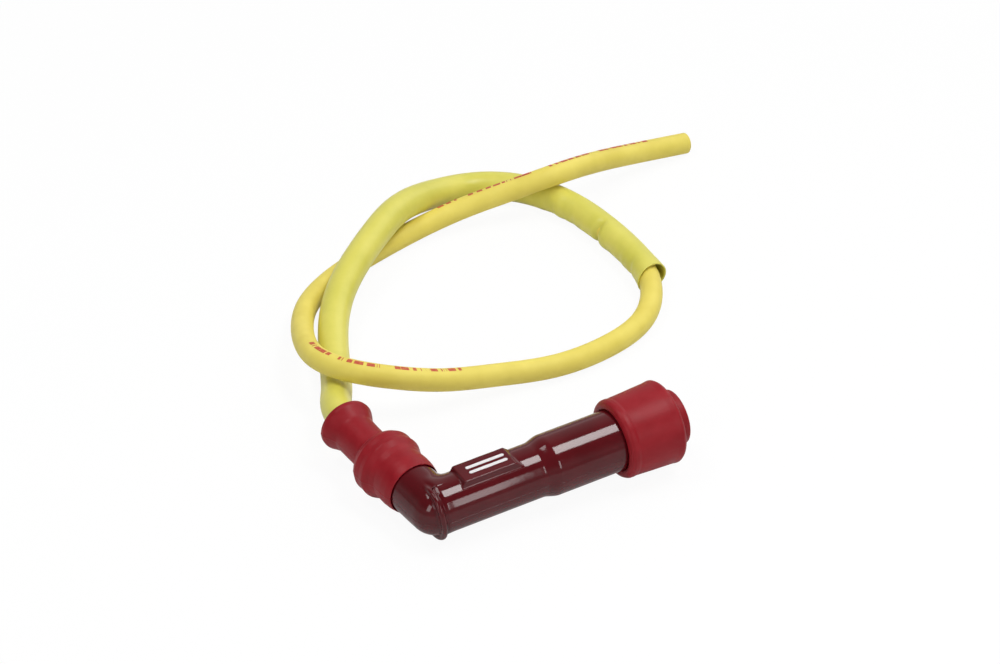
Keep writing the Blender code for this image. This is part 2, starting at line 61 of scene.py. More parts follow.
# Moulded body
BALL_R = 0.0077
BARREL_R = 0.00815
BARREL_WIDE_R = 0.00918
FLARE_START, FLARE_END = 0.0318, 0.0368
BODY_END = 0.0660
RING_R, RING_FRONT_R = 0.0093, 0.0090
RING_MIDDLE, RING_LEAN, RING_HALF = -0.00165, 0.00080, 0.00080
TUBE_R, TUBE_LENGTH = 0.00775, 0.0245
PAD_HEIGHT, PAD_START, PAD_END, PAD_HALF = 0.0090, 0.0080, 0.0242, 0.0039
PLUG_BORE_R, PLUG_BORE_FLOOR = 0.0066, 0.0420
INNER_BORE_R, INNER_BORE_START = 0.0040, -0.0036
LEAD_BORE_R = 0.0039
BODY_VOXEL = 0.00034
BODY_STEPS = 9
END_ROUND = 0.0012
BALL_FILLET, TUBE_FILLET = 0.0012, 0.0016
PAD_FILLET, RING_FILLET, BORE_FILLET = 0.0003, 0.0004, 0.0003
TUBE_TAPER = 0.0040
RING_ROUND = 0.00078
RING_FADE_START, RING_FADE_END = math.radians(-40), math.radians(20)
RING_WIDE_START, RING_WIDE_END = math.radians(55), math.radians(140)
PAD_FOOT, PAD_EDGE = 0.0052, 0.0002
PAD_SIDE_SLOPE, PAD_REAR_SLOPE, PAD_FRONT_SLOPE = 0.12, 0.5, 1.1

# Line of flash along the mould's parting, and the two bars on the pad
FLASH_BARREL_END, FLASH_TUBE_END = 0.0560, 0.0110
FLASH_SUNK, FLASH_PROUD, FLASH_HALF_WIDTH = 0.00006, 0.00005, 0.00014
BARS_START, BARS_END, BAR_HALF_WIDTH, BAR_PROUD = 0.0108, 0.0230, 0.00055, 0.00004
BAR_MIDDLES = (-0.0011, 0.0011)

# Lead and sleeve
LEAD_R = 0.0035
SLEEVE_R = 0.0047
SLEEVE_WALL = 0.00045
LEAD_START, SLEEVE_START, COLLAR_START, LEAD_LEAVES_AXIS = 0.0053, 0.0262, 0.0382, 0.0410
POINTS_INSIDE = 4
SLEEVE_END_POINT = 15.25
SAMPLES_PER_SPAN = 60
LEAD_SPACING, LEAD_SIDES, LEAD_EDGE = 0.0012, 40, 0.0002
SLEEVE_SPACING, SLEEVE_SIDES = 0.0006, 72

# Creases of the sleeve, and how its open mouth leans and widens
WRINKLES_BACK, WRINKLES_FADE, WRINKLE_DEPTH, WRINKLE_PITCH = 0.062, 0.012, 0.00100, 0.0094
KINK_BACK, KINK_DEPTH, KINK_LENGTH = 0.030, 0.00170, 0.0013
SWELL_AFTER, SWELL_HEIGHT, SWELL_LENGTH = 0.0035, 0.00045, 0.0022
MOUTH_LENGTH, MOUTH_OPENS, MOUTH_HUGS, MOUTH_SLANT = 0.012, 0.0013, 0.0006, 0.0024
BEND_LEAST, BEND_SPAN = 7, 16

# Their route, in metres from the table point under the elbow's centre
ROUTE = [
    (-0.0027, 0.0545, 0.0093),
    (0.0030, 0.0670, 0.0063),
    (0.0097, 0.0814, 0.0050),
    (0.0164, 0.0958, 0.0060),
    (0.0251, 0.1091, 0.0080),
    (0.0363, 0.1200, 0.0105),
    (0.0490, 0.1298, 0.0125),
    (0.0611, 0.1386, 0.0123),
    (0.0722, 0.1449, 0.0097),
    (0.0827, 0.1493, 0.0065),
    (0.0947, 0.1491, 0.0050),
    (0.1066, 0.1419, 0.0048),
    (0.1149, 0.1283, 0.0048),
    (0.1187, 0.1107, 0.0048),
    (0.1194, 0.0927, 0.0048),
    (0.1177, 0.0787, 0.0048),
    (0.1125, 0.0673, 0.0042),
    (0.1034, 0.0580, 0.0036),
    (0.0888, 0.0517, 0.0037),
    (0.0688, 0.0500, 0.0037),
    (0.0493, 0.0523, 0.0055),
    (0.0318, 0.0535, 0.0090),
    (0.0173, 0.0562, 0.0132),
    (0.0064, 0.0624, 0.0155),
    (0.0011, 0.0730, 0.0148),
    (0.0028, 0.0865, 0.0115),
    (0.0085, 0.1009, 0.0075),
    (0.0182, 0.1157, 0.0044),
    (0.0329, 0.1260, 0.0036),
    (0.0495, 0.1323, 0.0036),
    (0.0671, 0.1370, 0.0040),
    (0.0836, 0.1373, 0.0065),
    (0.0985, 0.1335, 0.0105),
    (0.1140, 0.1308, 0.0135),
    (0.1305, 0.1346, 0.0110),
    (0.1491, 0.1393, 0.0065),
    (0.1706, 0.1405, 0.0036),
]

# How the cable boot bends: sideways amounts at stations along it, and the collar's lean
SWAY_SIDE = (0.626, 0.780)
SWAY_STATIONS = (0.0180, 0.0220, 0.0260, 0.0310, 0.0360, 0.0410, 0.0445)
SWAY_AMOUNTS = (0.0, 0.00012, 0.00018, 0.00042, 0.00034, 0.00015, -0.00012)
COLLAR_LEAN, LEAN_START, LEAN_LENGTH = 0.07, 0.036, 0.004

# Dents and mould seams of the boots: height and size of the dents, height of the seam, and the
# radius where the outer skin starts and how soon it counts in full
SEAM_HALF_WIDTH = 0.00022
PLUG_DENTS, PLUG_DENT_SIZE, PLUG_SEAM, PLUG_SKIN = 0.00007, 0.007, 0.00003, (0.0098, 0.001)
CABLE_DENTS, CABLE_DENT_SIZE, CABLE_SEAM, CABLE_SKIN = 0.00016, 0.008, 0.00010, (0.0060, 0.0006)
CABLE_RIM, NECK_SKIN_R = 0.0462, 0.0059

# Lamps: direction from the elbow, distance, size, strength, roll in degrees
LAMPS = {
    "overhead": ((0.345, -0.151, 0.926), 0.9, (0.18, 0.40), 13.5, 0),
    "overhead_left": ((-0.27, 0.232, 0.933), 0.9, (0.45, 0.28), 6.2, 68),
    "front": ((0.335, -0.83, 0.45), 0.35, (0.05, 0.15), 6.5, 0),
    "front_left": ((-0.696, -0.49, 0.521), 0.9, (0.42, 0.24), 4.5, 42),
    "side": ((0.75, 0.20, 0.63), 1.3, (0.9, 1.2), 1.15, 0),
}

# Surroundings, bright near the horizon and dim above, and a glow behind to the right: a direction,
# where along it the strength starts and ends to change, and its first and last strength
WORLD_GLOWS = (
    ((0.0, 0.0, 1.0), 0.05, 0.60, 0.62, 0.13),
    ((0.60, 0.75, 0.28), 0.50, 0.95, 0.0, 0.40),
)

# Floor and wall that the camera sees as white, and how white they are to each kind of ray
FLOOR_DEPTH = -0.0002
BACKDROP_R, BACKDROP_HEIGHT, BACKDROP_SIDES = 8.0, 1.8, 64
PALE = 0.72
WHITE_STRENGTH = 1.02
WHITE_TO = {"Is Camera Ray": 0.92, "Is Transmission Ray": 0.92, "Is Glossy Ray": 0.25}

# Plain red bars along the lead: start and end along it, and angle from its top
PRINT_RUNS = [
    (0.3705, 0.3925, 2),
    (0.3965, 0.4085, 0),
    (0.4115, 0.4225, 4),
    (0.5275, 0.5345, -20),
    (0.5385, 0.5600, -16),
    (0.5660, 0.5840, -16),
    (0.5880, 0.6100, -14),
]
PRINT_HALF_WIDTH, PRINT_PROUD, PRINT_ACROSS = 0.0008, 0.00003, 5
PRINT_BAR, PRINT_BAR_VARIES, PRINT_GAP, PRINT_GAP_VARIES = 0.0010, 0.0016, 0.0007, 0.0007


def resting_frame():
    """World matrix of the cap, whose X runs along the barrel and Z up through the pad."""
    rise = math.atan2(REST_BOOT_R - REST_RING_R, REST_BOOT_AT - REST_RING_AT)
    height = REST_BOOT_R * math.cos(rise) - REST_BOOT_AT * math.sin(rise)
    reach = math.hypot(REST_CABLE_AT, REST_CABLE_R)
    lift = math.atan2(REST_CABLE_R, REST_CABLE_AT) - math.asin(height / reach)
    up_x = math.sin(rise)
    up_y = (math.sin(lift) - math.cos(ELBOW_ANGLE) * up_x) / math.sin(ELBOW_ANGLE)
    up = Vector((up_x, up_y, math.sqrt(1 - up_x**2 - up_y**2)))
    along = (Vector((1, 0, 0)) - up * up_x).normalized()
    return Matrix.Translation(ELBOW) @ Matrix((along, up.cross(along), up)).to_4x4()


CAP = resting_frame()
BARREL = CAP @ Matrix.Rotation(math.pi / 2, 4, "Y")
TUBE = CAP @ Matrix.Rotation(ELBOW_ANGLE, 4, "Z") @ Matrix.Rotation(math.pi / 2, 4, "Y")
TUBE_DIRECTION = np.array((math.cos(ELBOW_ANGLE), math.sin(ELBOW_ANGLE), 0.0))


# Camera

def make_camera():
    data = bpy.data.cameras.new("camera")
    data.sensor_fit = "HORIZONTAL"
    data.sensor_width = SENSOR_MM
    data.lens = FOCAL_PIXELS * SENSOR_MM / PICTURE_WIDTH
    data.clip_end = 20
    camera = bpy.data.objects.new("camera", data)
    flat = CAMERA_DISTANCE * math.cos(CAMERA_ELEVATION)
    camera.location = AIM + Vector((
        -flat * math.sin(CAMERA_TURN),
        -flat * math.cos(CAMERA_TURN),
        CAMERA_DISTANCE * math.sin(CAMERA_ELEVATION),
    ))
    camera.rotation_euler = (AIM - camera.location).to_track_quat("-Z", "Y").to_euler()
    bpy.context.scene.collection.objects.link(camera)
    bpy.context.scene.camera = camera


# Shapes

def mesh_piece(name, points, faces, material, smooth=True):
    mesh = bpy.data.meshes.new(name)
    mesh.from_pydata([tuple(point) for point in points], [], faces)
    mesh.materials.append(material)
    tidy = bmesh.new()
    tidy.from_mesh(mesh)
    bmesh.ops.recalc_face_normals(tidy, faces=tidy.faces)
    tidy.to_mesh(mesh)
    tidy.free()
    if smooth:
        mesh.shade_smooth()
    piece = bpy.data.objects.new(name, mesh)
    bpy.context.scene.collection.objects.link(piece)
    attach(piece, BODY)
    return piece


def smooth_through(points):
    """Fine points on the natural cubic spline through these points."""
    places = np.array(points)
    spans = np.linalg.norm(np.diff(places, axis=0), axis=1) ** 0.5
    slopes = np.diff(places, axis=0) / spans[:, None]
    system = np.eye(len(places))
    wanted = np.zeros_like(places)
    for i in range(1, len(places) - 1):
        system[i, i - 1 : i + 2] = spans[i - 1], 2 * (spans[i - 1] + spans[i]), spans[i]
        wanted[i] = 6 * (slopes[i] - slopes[i - 1])
    bends = np.linalg.solve(system, wanted)
    curve = []
    for i, span in enumerate(spans):
        ahead = np.arange(SAMPLES_PER_SPAN)[:, None] / SAMPLES_PER_SPAN
        back = 1 - ahead
        bow = (back**3 - back) * bends[i] + (ahead**3 - ahead) * bends[i + 1]
        curve.append(back * places[i] + ahead * places[i + 1] + bow * span**2 / 6)
    return np.vstack(curve + [places[-1:]])


def arc_lengths(curve):
    return np.concatenate([[0.0], np.cumsum(np.linalg.norm(np.diff(curve, axis=0), axis=1))])


def along_curve(curve, stations):
    lengths = arc_lengths(curve)
    return np.column_stack([np.interp(stations, lengths, curve[:, axis]) for axis in range(3)])


def unit(vectors):
    return vectors / np.linalg.norm(vectors, axis=-1, keepdims=True)


def directions(curve):
    """Unit vectors along the curve, to its side and out of its top, at each point."""
    ahead = unit(np.gradient(curve, axis=0))
    top = unit(np.array((0.0, 0.0, 1.0)) - ahead * ahead[:, 2:])
    return ahead, np.cross(ahead, top), top


def grid_faces(rings, sides, first=0, closed=False):
    faces = []
    for i in range(rings if closed else rings - 1):
        low = first + i * sides
        high = first + (i + 1) % rings * sides
        for j in range(sides):
            k = (j + 1) % sides
            faces.append((low + j, low + k, high + k, high + j))
    return faces


def rounded(corners, points=6):
    """A closed outline whose (radius, station, rounding) corners are turned into arcs."""
    outline = []
    for i, (radius, station, size) in enumerate(corners):
        here = np.array((radius, station))
        if not size:
            outline.append(here)
            continue
        before = np.array(corners[i - 1][:2]) - here
        after = np.array(corners[(i + 1) % len(corners)][:2]) - here
        before_unit, after_unit = unit(before), unit(after)
        half = math.acos(np.clip(before_unit @ after_unit, -1, 1)) / 2
        reach = min(size / math.tan(half), 0.49 * np.linalg.norm(before), 0.49 * np.linalg.norm(after))
        start, end = here + before_unit * reach, here + after_unit * reach
        for share in np.linspace(0, 1, points):
            outline.append((1 - share) ** 2 * start + 2 * share * (1 - share) * here + share**2 * end)
    return np.array(outline)


def finely(outline, step):
    """The closed outline with points no further apart than the step."""
    fine = []
    for a, b in zip(outline, np.roll(outline, -1, axis=0)):
        count = max(1, math.ceil(np.linalg.norm(b - a) / step))
        fine += [a + (b - a) * i / count for i in range(count)]
    return np.array(fine)


def lathe(name, corners, matrix, material, sides=240, step=0.0006, relief=None, sway=None):
    """A ring turned round the matrix's Z, which relief may raise or sink and sway may bend."""
    outline = finely(rounded(corners), step)
    angles = np.linspace(0, 2 * math.pi, sides, endpoint=False)
    radius = np.repeat(outline[:, :1], sides, axis=1)
    station = np.repeat(outline[:, 1:], sides, axis=1)
    around = np.repeat(angles[None, :], len(outline), axis=0)
    if relief:
        radius = radius + relief(radius, station, around)
    local = np.stack([radius * np.cos(around), radius * np.sin(around), station], axis=-1)
    if sway:
        local = local + sway(local)
    local = local.reshape(-1, 3)
    turn = np.array(matrix)
    points = local @ turn[:3, :3].T + turn[:3, 3]
    return mesh_piece(name, points, grid_faces(len(outline), sides, closed=True), material)


def lumps(radius, station, around, size, seed):
    """Smooth noise between -1 and 1 over a turned skin, with lumps of about this size."""
    values = np.empty(radius.shape)
    scale = 1 / size
    for i in range(radius.shape[0]):
        for j in range(radius.shape[1]):
            x = radius[i, j] * math.cos(around[i, j])
            y = radius[i, j] * math.sin(around[i, j])
            values[i, j] = noise.noise((x * scale + seed, y * scale, station[i, j] * scale))
    return values


# Materials

class Look:
    """A procedural material: one shader, with helpers that add and join its nodes."""

    def __init__(self, name, sockets=()):
        self.material = bpy.data.materials.new(name)
        self.material.use_nodes = True
        self.nodes = self.material.node_tree.nodes
        self.links = self.material.node_tree.links
        self.shader = self.nodes["Principled BSDF"]
        self.place = self.nodes.new("ShaderNodeTexCoord").outputs["Object"]
        for socket, value in dict(sockets).items():
            self.shader.inputs[socket].default_value = value

    def noise(self, size, detail=3.0, roughness=0.55):
        texture = self.nodes.new("ShaderNodeTexNoise")
        texture.inputs["Scale"].default_value = 1 / size
        texture.inputs["Detail"].default_value = detail
        texture.inputs["Roughness"].default_value = roughness
        self.links.new(self.place, texture.inputs["Vector"])
        return texture.outputs["Fac"]

    def ramp(self, factor, low, high):
        """Maps the factor's span from low to high onto 0 to 1."""
        node = self.nodes.new("ShaderNodeMapRange")
        node.inputs["From Min"].default_value = low
        node.inputs["From Max"].default_value = high
        self.links.new(factor, node.inputs["Value"])
        return node.outputs["Result"]

    def spread(self, factor, low, high):
        """Maps 0 to 1 onto low to high."""
        node = self.nodes.new("ShaderNodeMapRange")
        node.inputs["To Min"].default_value = low
        node.inputs["To Max"].default_value = high
        self.links.new(factor, node.inputs["Value"])
        return node.outputs["Result"]

    def mix(self, factor, first, second):
        node = self.nodes.new("ShaderNodeMix")
        node.data_type = "RGBA"
        self.links.new(factor, node.inputs["Factor"])
        for socket, value in (("A", first), ("B", second)):
            target = next(s for s in node.inputs if s.name == socket and s.type == "RGBA")
            target.default_value = (*value, 1.0)
        return next(s for s in node.outputs if s.type == "RGBA")

    def use(self, socket, value):
        self.links.new(value, self.shader.inputs[socket])

    def bump(self, height, distance, strength=1.0):
        node = self.nodes.new("ShaderNodeBump")
        node.inputs["Distance"].default_value = distance
        node.inputs["Strength"].default_value = strength
        self.links.new(height, node.inputs["Height"])
        existing = self.shader.inputs["Normal"].links
        if existing:
            self.links.new(existing[0].from_socket, node.inputs["Normal"])
        self.links.new(node.outputs["Normal"], self.shader.inputs["Normal"])


def phenolic_look():
    look = Look("phenolic", {"IOR": 1.5, "Specular IOR Level": 0.36})
    mottled = look.ramp(look.noise(0.012, 4), 0.3, 0.7)
    look.use("Base Color", look.mix(mottled, (0.078, 0.0030, 0.0052), (0.102, 0.0050, 0.0085)))
    look.use("Roughness", look.spread(look.noise(0.004, 3), 0.07, 0.13))
    look.bump(look.noise(0.0022, 2), 0.00002, 0.6)
    return look.material


def rubber_look():
    look = Look("red_rubber", {"IOR": 1.45, "Specular IOR Level": 0.24})
    dusty = look.ramp(look.noise(0.006, 5, 0.6), 0.35, 0.75)
    look.use("Base Color", look.mix(dusty, (0.260, 0.0060, 0.0120), (0.320, 0.0130, 0.0200)))
    look.use("Roughness", look.spread(look.noise(0.003, 4), 0.34, 0.50))
    look.bump(look.noise(0.0005, 3), 0.00002, 0.4)
    look.bump(look.noise(0.004, 3), 0.00012, 0.5)
    return look.material


def lead_look():
    look = Look("lead_silicone", {"IOR": 1.42, "Specular IOR Level": 0.35})
    tinted = look.ramp(look.noise(0.010, 3), 0.3, 0.7)
    look.use("Base Color", look.mix(tinted, (0.78, 0.645, 0.112), (0.86, 0.725, 0.148)))
    look.use("Roughness", look.spread(look.noise(0.002, 3), 0.40, 0.56))
    look.bump(look.noise(0.0012, 3), 0.00003, 0.4)
    return look.material


def sleeve_look():
    look = Look("sleeve_silicone_skin", {"IOR": 1.42})
    tinted = look.ramp(look.noise(0.012, 4), 0.3, 0.7)
    look.use("Base Color", look.mix(tinted, (0.67, 0.63, 0.098), (0.77, 0.71, 0.140)))
    look.use("Roughness", look.spread(look.noise(0.006, 3), 0.26, 0.42))
    look.bump(look.noise(0.0050, 2), 0.00010, 0.5)
    return look.material


def ink_look():
    look = Look("red_ink")
    worn = look.ramp(look.noise(0.0006, 3), 0.35, 0.65)
    look.use("Base Color", look.mix(worn, (0.50, 0.045, 0.02), (0.62, 0.16, 0.05)))
    look.use("Roughness", look.spread(worn, 0.45, 0.6))
    return look.material


def paint_look():
    look = Look("white_paint")
    worn = look.ramp(look.noise(0.0010, 3), 0.3, 0.7)
    look.use("Base Color", look.mix(worn, (0.74, 0.70, 0.71), (0.84, 0.82, 0.82)))
    look.use("Roughness", look.spread(worn, 0.35, 0.5))
    return look.material


def metal_look(name, light, dark):
    look = Look(name, {"Metallic": 1.0})
    tarnished = look.ramp(look.noise(0.003, 4), 0.35, 0.7)
    look.use("Base Color", look.mix(tarnished, light, dark))
    look.use("Roughness", look.spread(look.noise(0.0008, 3), 0.22, 0.42))
    look.bump(look.noise(0.0004, 2), 0.00001, 0.5)
    return look.material


def ceramic_look():
    look = Look("ceramic")
    speckled = look.ramp(look.noise(0.0009, 4), 0.4, 0.7)
    look.use("Base Color", look.mix(speckled, (0.78, 0.76, 0.71), (0.70, 0.67, 0.61)))
    look.use("Roughness", look.spread(speckled, 0.5, 0.7))
    look.bump(look.noise(0.0004, 3), 0.00001, 0.5)
    return look.material


def wear(node, material):
    """Gives a CAD node's own mesh this material in each of its slots."""
    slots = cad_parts[node].material_slots
    for slot in slots:
        slot.material = material
    if not slots:
        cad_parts[node].data.materials.append(material)


# Lead and sleeve

def route_curve():
    tube = np.array(TUBE)
    stations = (LEAD_START, SLEEVE_START, COLLAR_START, LEAD_LEAVES_AXIS)
    inside = [tube[:3, 3] + tube[:3, 2] * station for station in stations]
    table_point = np.array((ELBOW.x, ELBOW.y, 0.0))
    outside = [table_point + np.array(point) for point in ROUTE]
    return smooth_through(inside + outside)


def bend_vectors(curve, spacing):
    """Curvature at each point, as a vector towards the inside of the bend, smoothed."""
    ahead = unit(np.gradient(curve, axis=0))
    bends = np.gradient(ahead, axis=0) / spacing
    window = np.ones(9) / 9
    return np.column_stack([np.convolve(bends[:, axis], window, mode="same") for axis in range(3)])


def make_lead(curve, material):
    sides = LEAD_SIDES
    length = arc_lengths(curve)[-1]
    stations = np.linspace(0, length, round(length / LEAD_SPACING))
    stations = np.concatenate([[0.0], stations[1:-1], [length - LEAD_EDGE, length]])
    centers = along_curve(curve, stations)
    ahead, side, top = directions(centers)
    angles = np.linspace(0, 2 * math.pi, sides, endpoint=False)
    points = []
    for i, center in enumerate(centers):
        radius = LEAD_R * (1 + 0.006 * noise.noise((stations[i] * 90, 0.0, 3.0)))
        if i == len(centers) - 1:
            radius -= LEAD_EDGE
        for angle in angles:
            points.append(center + radius * (math.cos(angle) * top[i] + math.sin(angle) * side[i]))
    faces = grid_faces(len(centers), sides)
    for ring, center in ((0, centers[0]), (len(centers) - 1, centers[-1])):
        points.append(center)
        for j in range(sides):
            faces.append((len(points) - 1, ring * sides + j, ring * sides + (j + 1) % sides))
    lead = mesh_piece("lead", points, faces, material)
    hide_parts("ht_lead")
    return lead, centers


def make_sleeve(curve, material):
    """Thin sleeve, creased inside its last bends, its mouth open away from the bend."""
    lengths = arc_lengths(curve)
    start = lengths[SAMPLES_PER_SPAN]
    end = lengths[round((POINTS_INSIDE + SLEEVE_END_POINT) * SAMPLES_PER_SPAN)]
    sides = SLEEVE_SIDES
    stations = np.linspace(start, end, round((end - start) / SLEEVE_SPACING))
    centers = along_curve(curve, stations)
    ahead, side, top = directions(centers)
    bends = bend_vectors(centers, stations[1] - stations[0])
    tightness = np.linalg.norm(bends, axis=1)
    outward = -unit(bends[-40:-8].mean(axis=0))
    open_end = np.clip((stations - (end - MOUTH_LENGTH)) / MOUTH_LENGTH, 0, 1)
    wrinkles_start = end - WRINKLES_BACK
    kink_at = end - KINK_BACK
    angles = np.linspace(0, 2 * math.pi, sides, endpoint=False)
    outer, inner = [], []
    for i, center in enumerate(centers):
        inward = bends[i] / max(tightness[i], 1e-9)
        station = stations[i]
        creased = smooth_step(station, wrinkles_start, wrinkles_start + WRINKLES_FADE)
        bent = np.clip((tightness[i] - BEND_LEAST) / BEND_SPAN, 0, 1)
        depth = WRINKLE_DEPTH * bent * (1 - open_end[i]) * creased
        kink = math.exp(-(((station - kink_at) / KINK_LENGTH) ** 2))
        swell = math.exp(-(((station - kink_at - SWELL_AFTER) / SWELL_LENGTH) ** 2))
        phase = station / WRINKLE_PITCH * math.pi + 1.6 * noise.noise((station * 60, 5.0, 0.0))
        crease = abs(math.sin(phase)) - 0.72
        minor = abs(math.sin(phase * 2.3 + 1.0)) - 0.7
        for angle in angles:
            out = math.cos(angle) * top[i] + math.sin(angle) * side[i]
            facing = max(0.0, float(out @ inward)) ** 1.2
            soft = noise.noise(tuple((center + out * SLEEVE_R) * 70 + 11.0))
            radius = SLEEVE_R + 0.00008 * soft
            radius += depth * facing * (crease + 0.45 * minor)
            radius += facing * (SWELL_HEIGHT * swell - KINK_DEPTH * kink)
            reach = float(out @ outward)
            radius += MOUTH_OPENS * open_end[i] ** 2 * max(0.0, reach) ** 1.5
            radius -= MOUTH_HUGS * open_end[i] * max(0.0, -reach) ** 1.5
            slant = -MOUTH_SLANT * open_end[i] * reach * ahead[i]
            outer.append(center + out * radius + slant)
            inner.append(center + out * (radius - SLEEVE_WALL) + slant)
    rings = len(centers)
    points = outer + inner
    faces = grid_faces(rings, sides) + grid_faces(rings, sides, first=rings * sides)
    for ring in (0, rings - 1):
        for j in range(sides):
            k = (j + 1) % sides
            a, b = ring * sides + j, ring * sides + k
            faces.append((a, b, b + rings * sides, a + rings * sides))
    sleeve = mesh_piece("sleeve", points, faces, material)
    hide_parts("lead_sleeve")
    return sleeve


def make_print(curve, material):
    """Short plain bars of red ink along the lead's top, each a patch just proud of the skin."""
    points, faces = [], []
    skin = LEAD_R + PRINT_PROUD
    across = PRINT_ACROSS
    for run, (start, end, degrees) in enumerate(PRINT_RUNS):
        at = start
        index = 0
        while at < end:
            chance = noise.cell((run * 7.3 + index * 1.7, 2.5, 0.5))
            bar = PRINT_BAR + PRINT_BAR_VARIES * chance
            stations = np.linspace(at, min(at + bar, end), 4)
            centers = along_curve(curve, stations)
            nearby = along_curve(curve, stations + 0.0003)
            ahead = unit(nearby - centers)
            top = unit(np.array((0.0, 0.0, 1.0)) - ahead * ahead[:, 2:])
            side = np.cross(ahead, top)
            middle = math.radians(degrees)
            spread = PRINT_HALF_WIDTH / LEAD_R
            first = len(points)
            for i, center in enumerate(centers):
                for turn in np.linspace(middle - spread, middle + spread, across):
                    out = math.cos(turn) * top[i] + math.sin(turn) * side[i]
                    points.append(center + skin * out)
            for i in range(len(centers) - 1):
                for j in range(across - 1):
                    a = first + i * across + j
                    faces.append((a, a + 1, a + across + 1, a + across))
            chance = noise.cell((run * 3.1 + index * 2.9, 7.5, 1.5))
            at += bar + PRINT_GAP + PRINT_GAP_VARIES * chance
            index += 1
    marks = mesh_piece("lead_print", points, faces, material)
    return marks


# Moulded body

def soft_least(a, b, size):
    share = np.clip(0.5 + 0.5 * (b - a) / size, 0, 1)
    return b * (1 - share) + a * share - size * share * (1 - share)


def soft_most(a, b, size):
    return -soft_least(-a, -b, size)


def smooth_step(value, start, end):
    share = np.clip((value - start) / (end - start), 0, 1)
    return share * share * (3 - 2 * share)


def body_field(p):
    """Signed distance, about, from the moulded body's skin to points in the cap's own frame."""
    station = p[:, 0]
    off_axis = np.hypot(p[:, 1], p[:, 2])
    swell = smooth_step(station, FLARE_START, FLARE_END)
    barrel = off_axis - (BARREL_R + (BARREL_WIDE_R - BARREL_R) * swell)
    barrel = soft_most(barrel, np.maximum(station - BODY_END, -station), END_ROUND)
    ball = np.linalg.norm(p, axis=1) - BALL_R
    up_tube = p @ TUBE_DIRECTION
    off_tube = np.sqrt(np.maximum((p * p).sum(axis=1) - up_tube**2, 0))
    tube_r = BALL_R + (TUBE_R - BALL_R) * smooth_step(up_tube, 0, TUBE_TAPER)
    tube = np.maximum(soft_most(off_tube - tube_r, up_tube - TUBE_LENGTH, END_ROUND), -up_tube)
    toward_tube = np.arctan2(p[:, 1], p[:, 2])
    fade = smooth_step(toward_tube, RING_FADE_START, RING_FADE_END)
    under = smooth_step(-toward_tube, RING_WIDE_START, RING_WIDE_END)
    ring_r = RING_FRONT_R + (RING_R - RING_FRONT_R) * under
    ring_r = ring_r - (ring_r - BALL_R) * fade
    over = off_axis - (ring_r - RING_ROUND)
    beside = np.abs(station - RING_MIDDLE - RING_LEAN * under) - (RING_HALF - RING_ROUND)
    corner = np.hypot(np.maximum(over, 0), np.maximum(beside, 0))
    ring = np.minimum(np.maximum(over, beside), 0) + corner - RING_ROUND
    depth = PAD_HEIGHT - p[:, 2]
    walls = np.abs(p[:, 1]) - PAD_HALF - PAD_SIDE_SLOPE * depth
    rear = 0.9 * ((PAD_START - station) - PAD_REAR_SLOPE * depth)
    front = 0.7 * ((station - PAD_END) - PAD_FRONT_SLOPE * depth)
    ends = soft_most(rear, front, PAD_EDGE)
    pad = soft_most(soft_most(walls, ends, PAD_EDGE), -depth, PAD_EDGE)
    pad = np.maximum(pad, PAD_FOOT - p[:, 2])
    whole = np.minimum(
        soft_least(ball, barrel, BALL_FILLET), soft_least(barrel, tube, TUBE_FILLET)
    )
    whole = soft_least(whole, pad, PAD_FILLET)
    whole = soft_least(whole, ring, RING_FILLET)
    plug_bore = np.maximum(off_axis - PLUG_BORE_R, PLUG_BORE_FLOOR - station)
    inner_bore = np.maximum(off_axis - INNER_BORE_R, INNER_BORE_START - station)
    lead_bore = np.maximum(off_tube - LEAD_BORE_R, -up_tube)
    hollow = np.minimum(np.minimum(plug_bore, inner_bore), lead_bore)
    return soft_most(whole, -hollow, BORE_FILLET)


def field_slope(p):
    """Steepness of the body's field along each axis at these points."""
    reach = 0.00002
    slope = np.empty_like(p)
    for axis in range(3):
        step = np.zeros(3)
        step[axis] = reach
        slope[:, axis] = (body_field(p + step) - body_field(p - step)) / (2 * reach)
    return slope


def make_body(material):
    """The solid's mesh, remeshed finely and drawn onto the exact rounded and filleted shape."""
    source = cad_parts["cap_body"]
    rough = bpy.data.objects.new("rough_body", source.data.copy())
    bpy.context.scene.collection.objects.link(rough)
    remesh = rough.modifiers.new("Remesh", "REMESH")
    remesh.mode = "VOXEL"
    remesh.voxel_size = BODY_VOXEL
    graph = bpy.context.evaluated_depsgraph_get()
    graph.update()
    mesh = bpy.data.meshes.new_from_object(rough.evaluated_get(graph))
    bpy.data.objects.remove(rough, do_unlink=True)
    places = np.empty(len(mesh.vertices) * 3)
    mesh.vertices.foreach_get("co", places)
    turn = np.array(CAP)
    local = (places.reshape(-1, 3) - turn[:3, 3]) @ turn[:3, :3]
    for _ in range(BODY_STEPS):
        slope = field_slope(local)
        steep = np.maximum((slope * slope).sum(axis=1), 0.2)
        move = -(body_field(local) / steep)[:, None] * slope
        local += np.clip(move, -BODY_VOXEL, BODY_VOXEL)
    normals = unit(field_slope(local))
    mesh.vertices.foreach_set("co", (local @ turn[:3, :3].T + turn[:3, 3]).ravel())
    mesh.materials.clear()
    mesh.materials.append(material)
    mesh.shade_smooth()
    mesh.normals_split_custom_set_from_vertices((normals @ turn[:3, :3].T).tolist())
    mesh.name = "body"
    piece = bpy.data.objects.new("body", mesh)
    bpy.context.scene.collection.objects.link(piece)
    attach(piece, BODY)
    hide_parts("cap_body")


